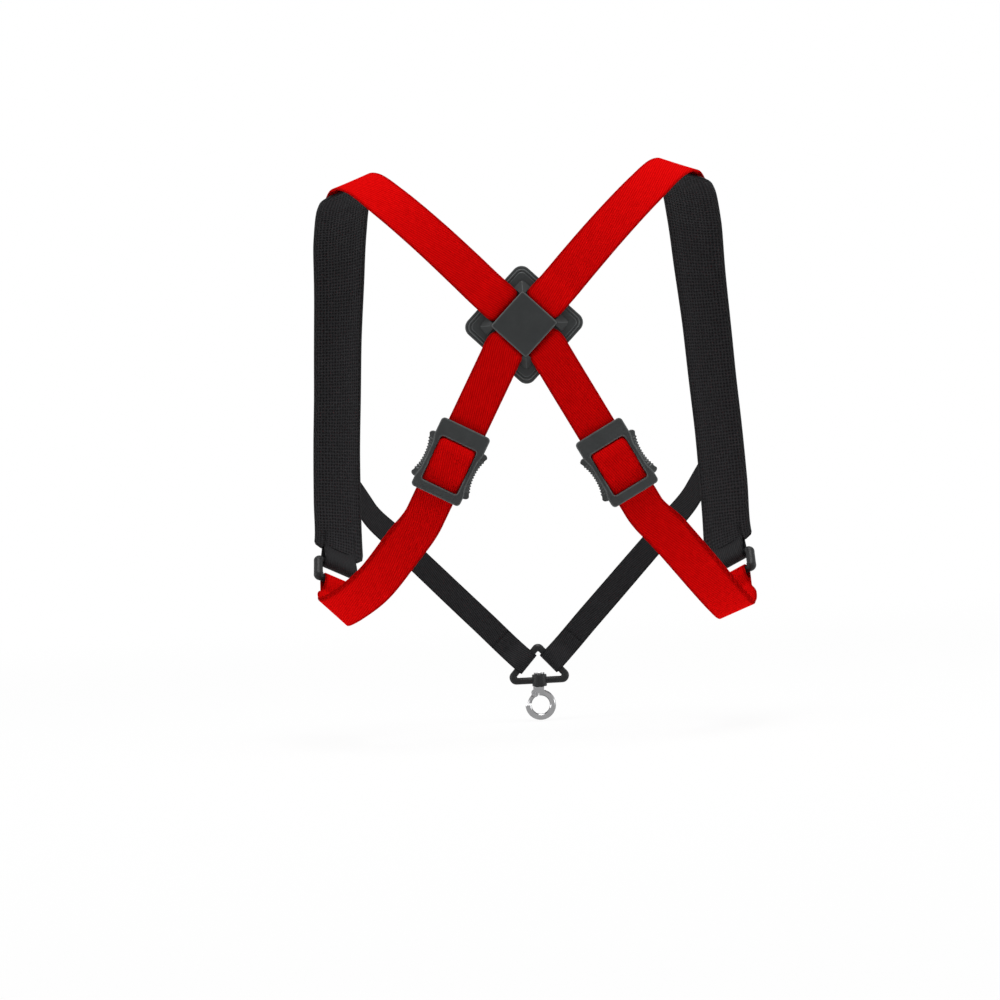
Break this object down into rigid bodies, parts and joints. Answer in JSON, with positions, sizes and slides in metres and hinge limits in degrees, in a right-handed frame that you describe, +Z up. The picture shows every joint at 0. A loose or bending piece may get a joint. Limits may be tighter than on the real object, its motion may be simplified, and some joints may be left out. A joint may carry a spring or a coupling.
{
  "type": "saxophone shoulder harness",
  "caption": "Shoulder harness for a saxophone: crossed webbing with a diamond back plate, sliding adjusters, front pads, chest straps and a swivelling snap hook.",
  "frame": {"origin": "middle of the cross plate's flat face that lies on the wearer's back", "axes": "+Z up, +X the wearer's right, +Y the way the wearer faces; the back of the harness faces -Y"},
  "size_m": [0.349, 0.2523, 0.4383],
  "materials": {
    "red_webbing": "woven twill webbing",
    "black_webbing": "woven webbing",
    "pad_fabric": "matte knit fabric",
    "pad_foam": "closed-cell foam",
    "black_plastic": "fine matte moulded",
    "steel": "plated"
  },
  "bodies": {
    "harness": {"cross_plate_base": "black_plastic", "cross_plate_cover": "black_plastic", "left_strap": "red_webbing", "right_strap": "red_webbing", "left_return_strap": "red_webbing", "right_return_strap": "red_webbing", "left_pad_face": "pad_fabric", "right_pad_face": "pad_fabric", "left_pad_core": "pad_foam", "right_pad_core": "pad_foam", "left_pad_lining": "pad_fabric", "right_pad_lining": "pad_fabric", "left_pad_tab": "black_webbing", "right_pad_tab": "black_webbing", "left_strap_loop": "black_plastic", "right_strap_loop": "black_plastic", "left_chest_strap": "black_webbing", "right_chest_strap": "black_webbing", "hook_yoke": "black_plastic"},
    "left_slider": {"left_adjuster": "black_plastic", "left_bar_loop": "red_webbing"},
    "right_slider": {"right_adjuster": "black_plastic", "right_bar_loop": "red_webbing"},
    "hook": {"snap_hook": "steel", "swivel_washer": "steel", "gate_pin": "steel", "gate_spring": "steel"},
    "gate": {"hook_gate": "steel"}
  },
  "joints": [
    {"name": "left_adjuster_slide", "type": "slide", "parent": "harness", "child": "left_slider", "axis": [0.4749, -0.075, 0.8768], "range_m": [-0.01, 0.04], "deforming": ["left_return_strap"]},
    {"name": "right_adjuster_slide", "type": "slide", "parent": "harness", "child": "right_slider", "axis": [-0.4749, -0.075, 0.8768], "range_m": [-0.005, 0.04], "deforming": ["right_return_strap"]},
    {"name": "hook_swivel", "type": "hinge", "parent": "harness", "child": "hook", "pos_m": [0, 0.237, -0.29795], "axis": [0, 0, 1], "continuous": true},
    {"name": "gate_hinge", "type": "hinge", "parent": "hook", "child": "gate", "pos_m": [-0.0042, 0.237, -0.28835], "axis": [0, -1, 0], "range_deg": [0, 40], "stiffness_Nm_per_rad": 0.02, "springref_deg": -20.05, "deforming": ["gate_spring"]}
  ]
}
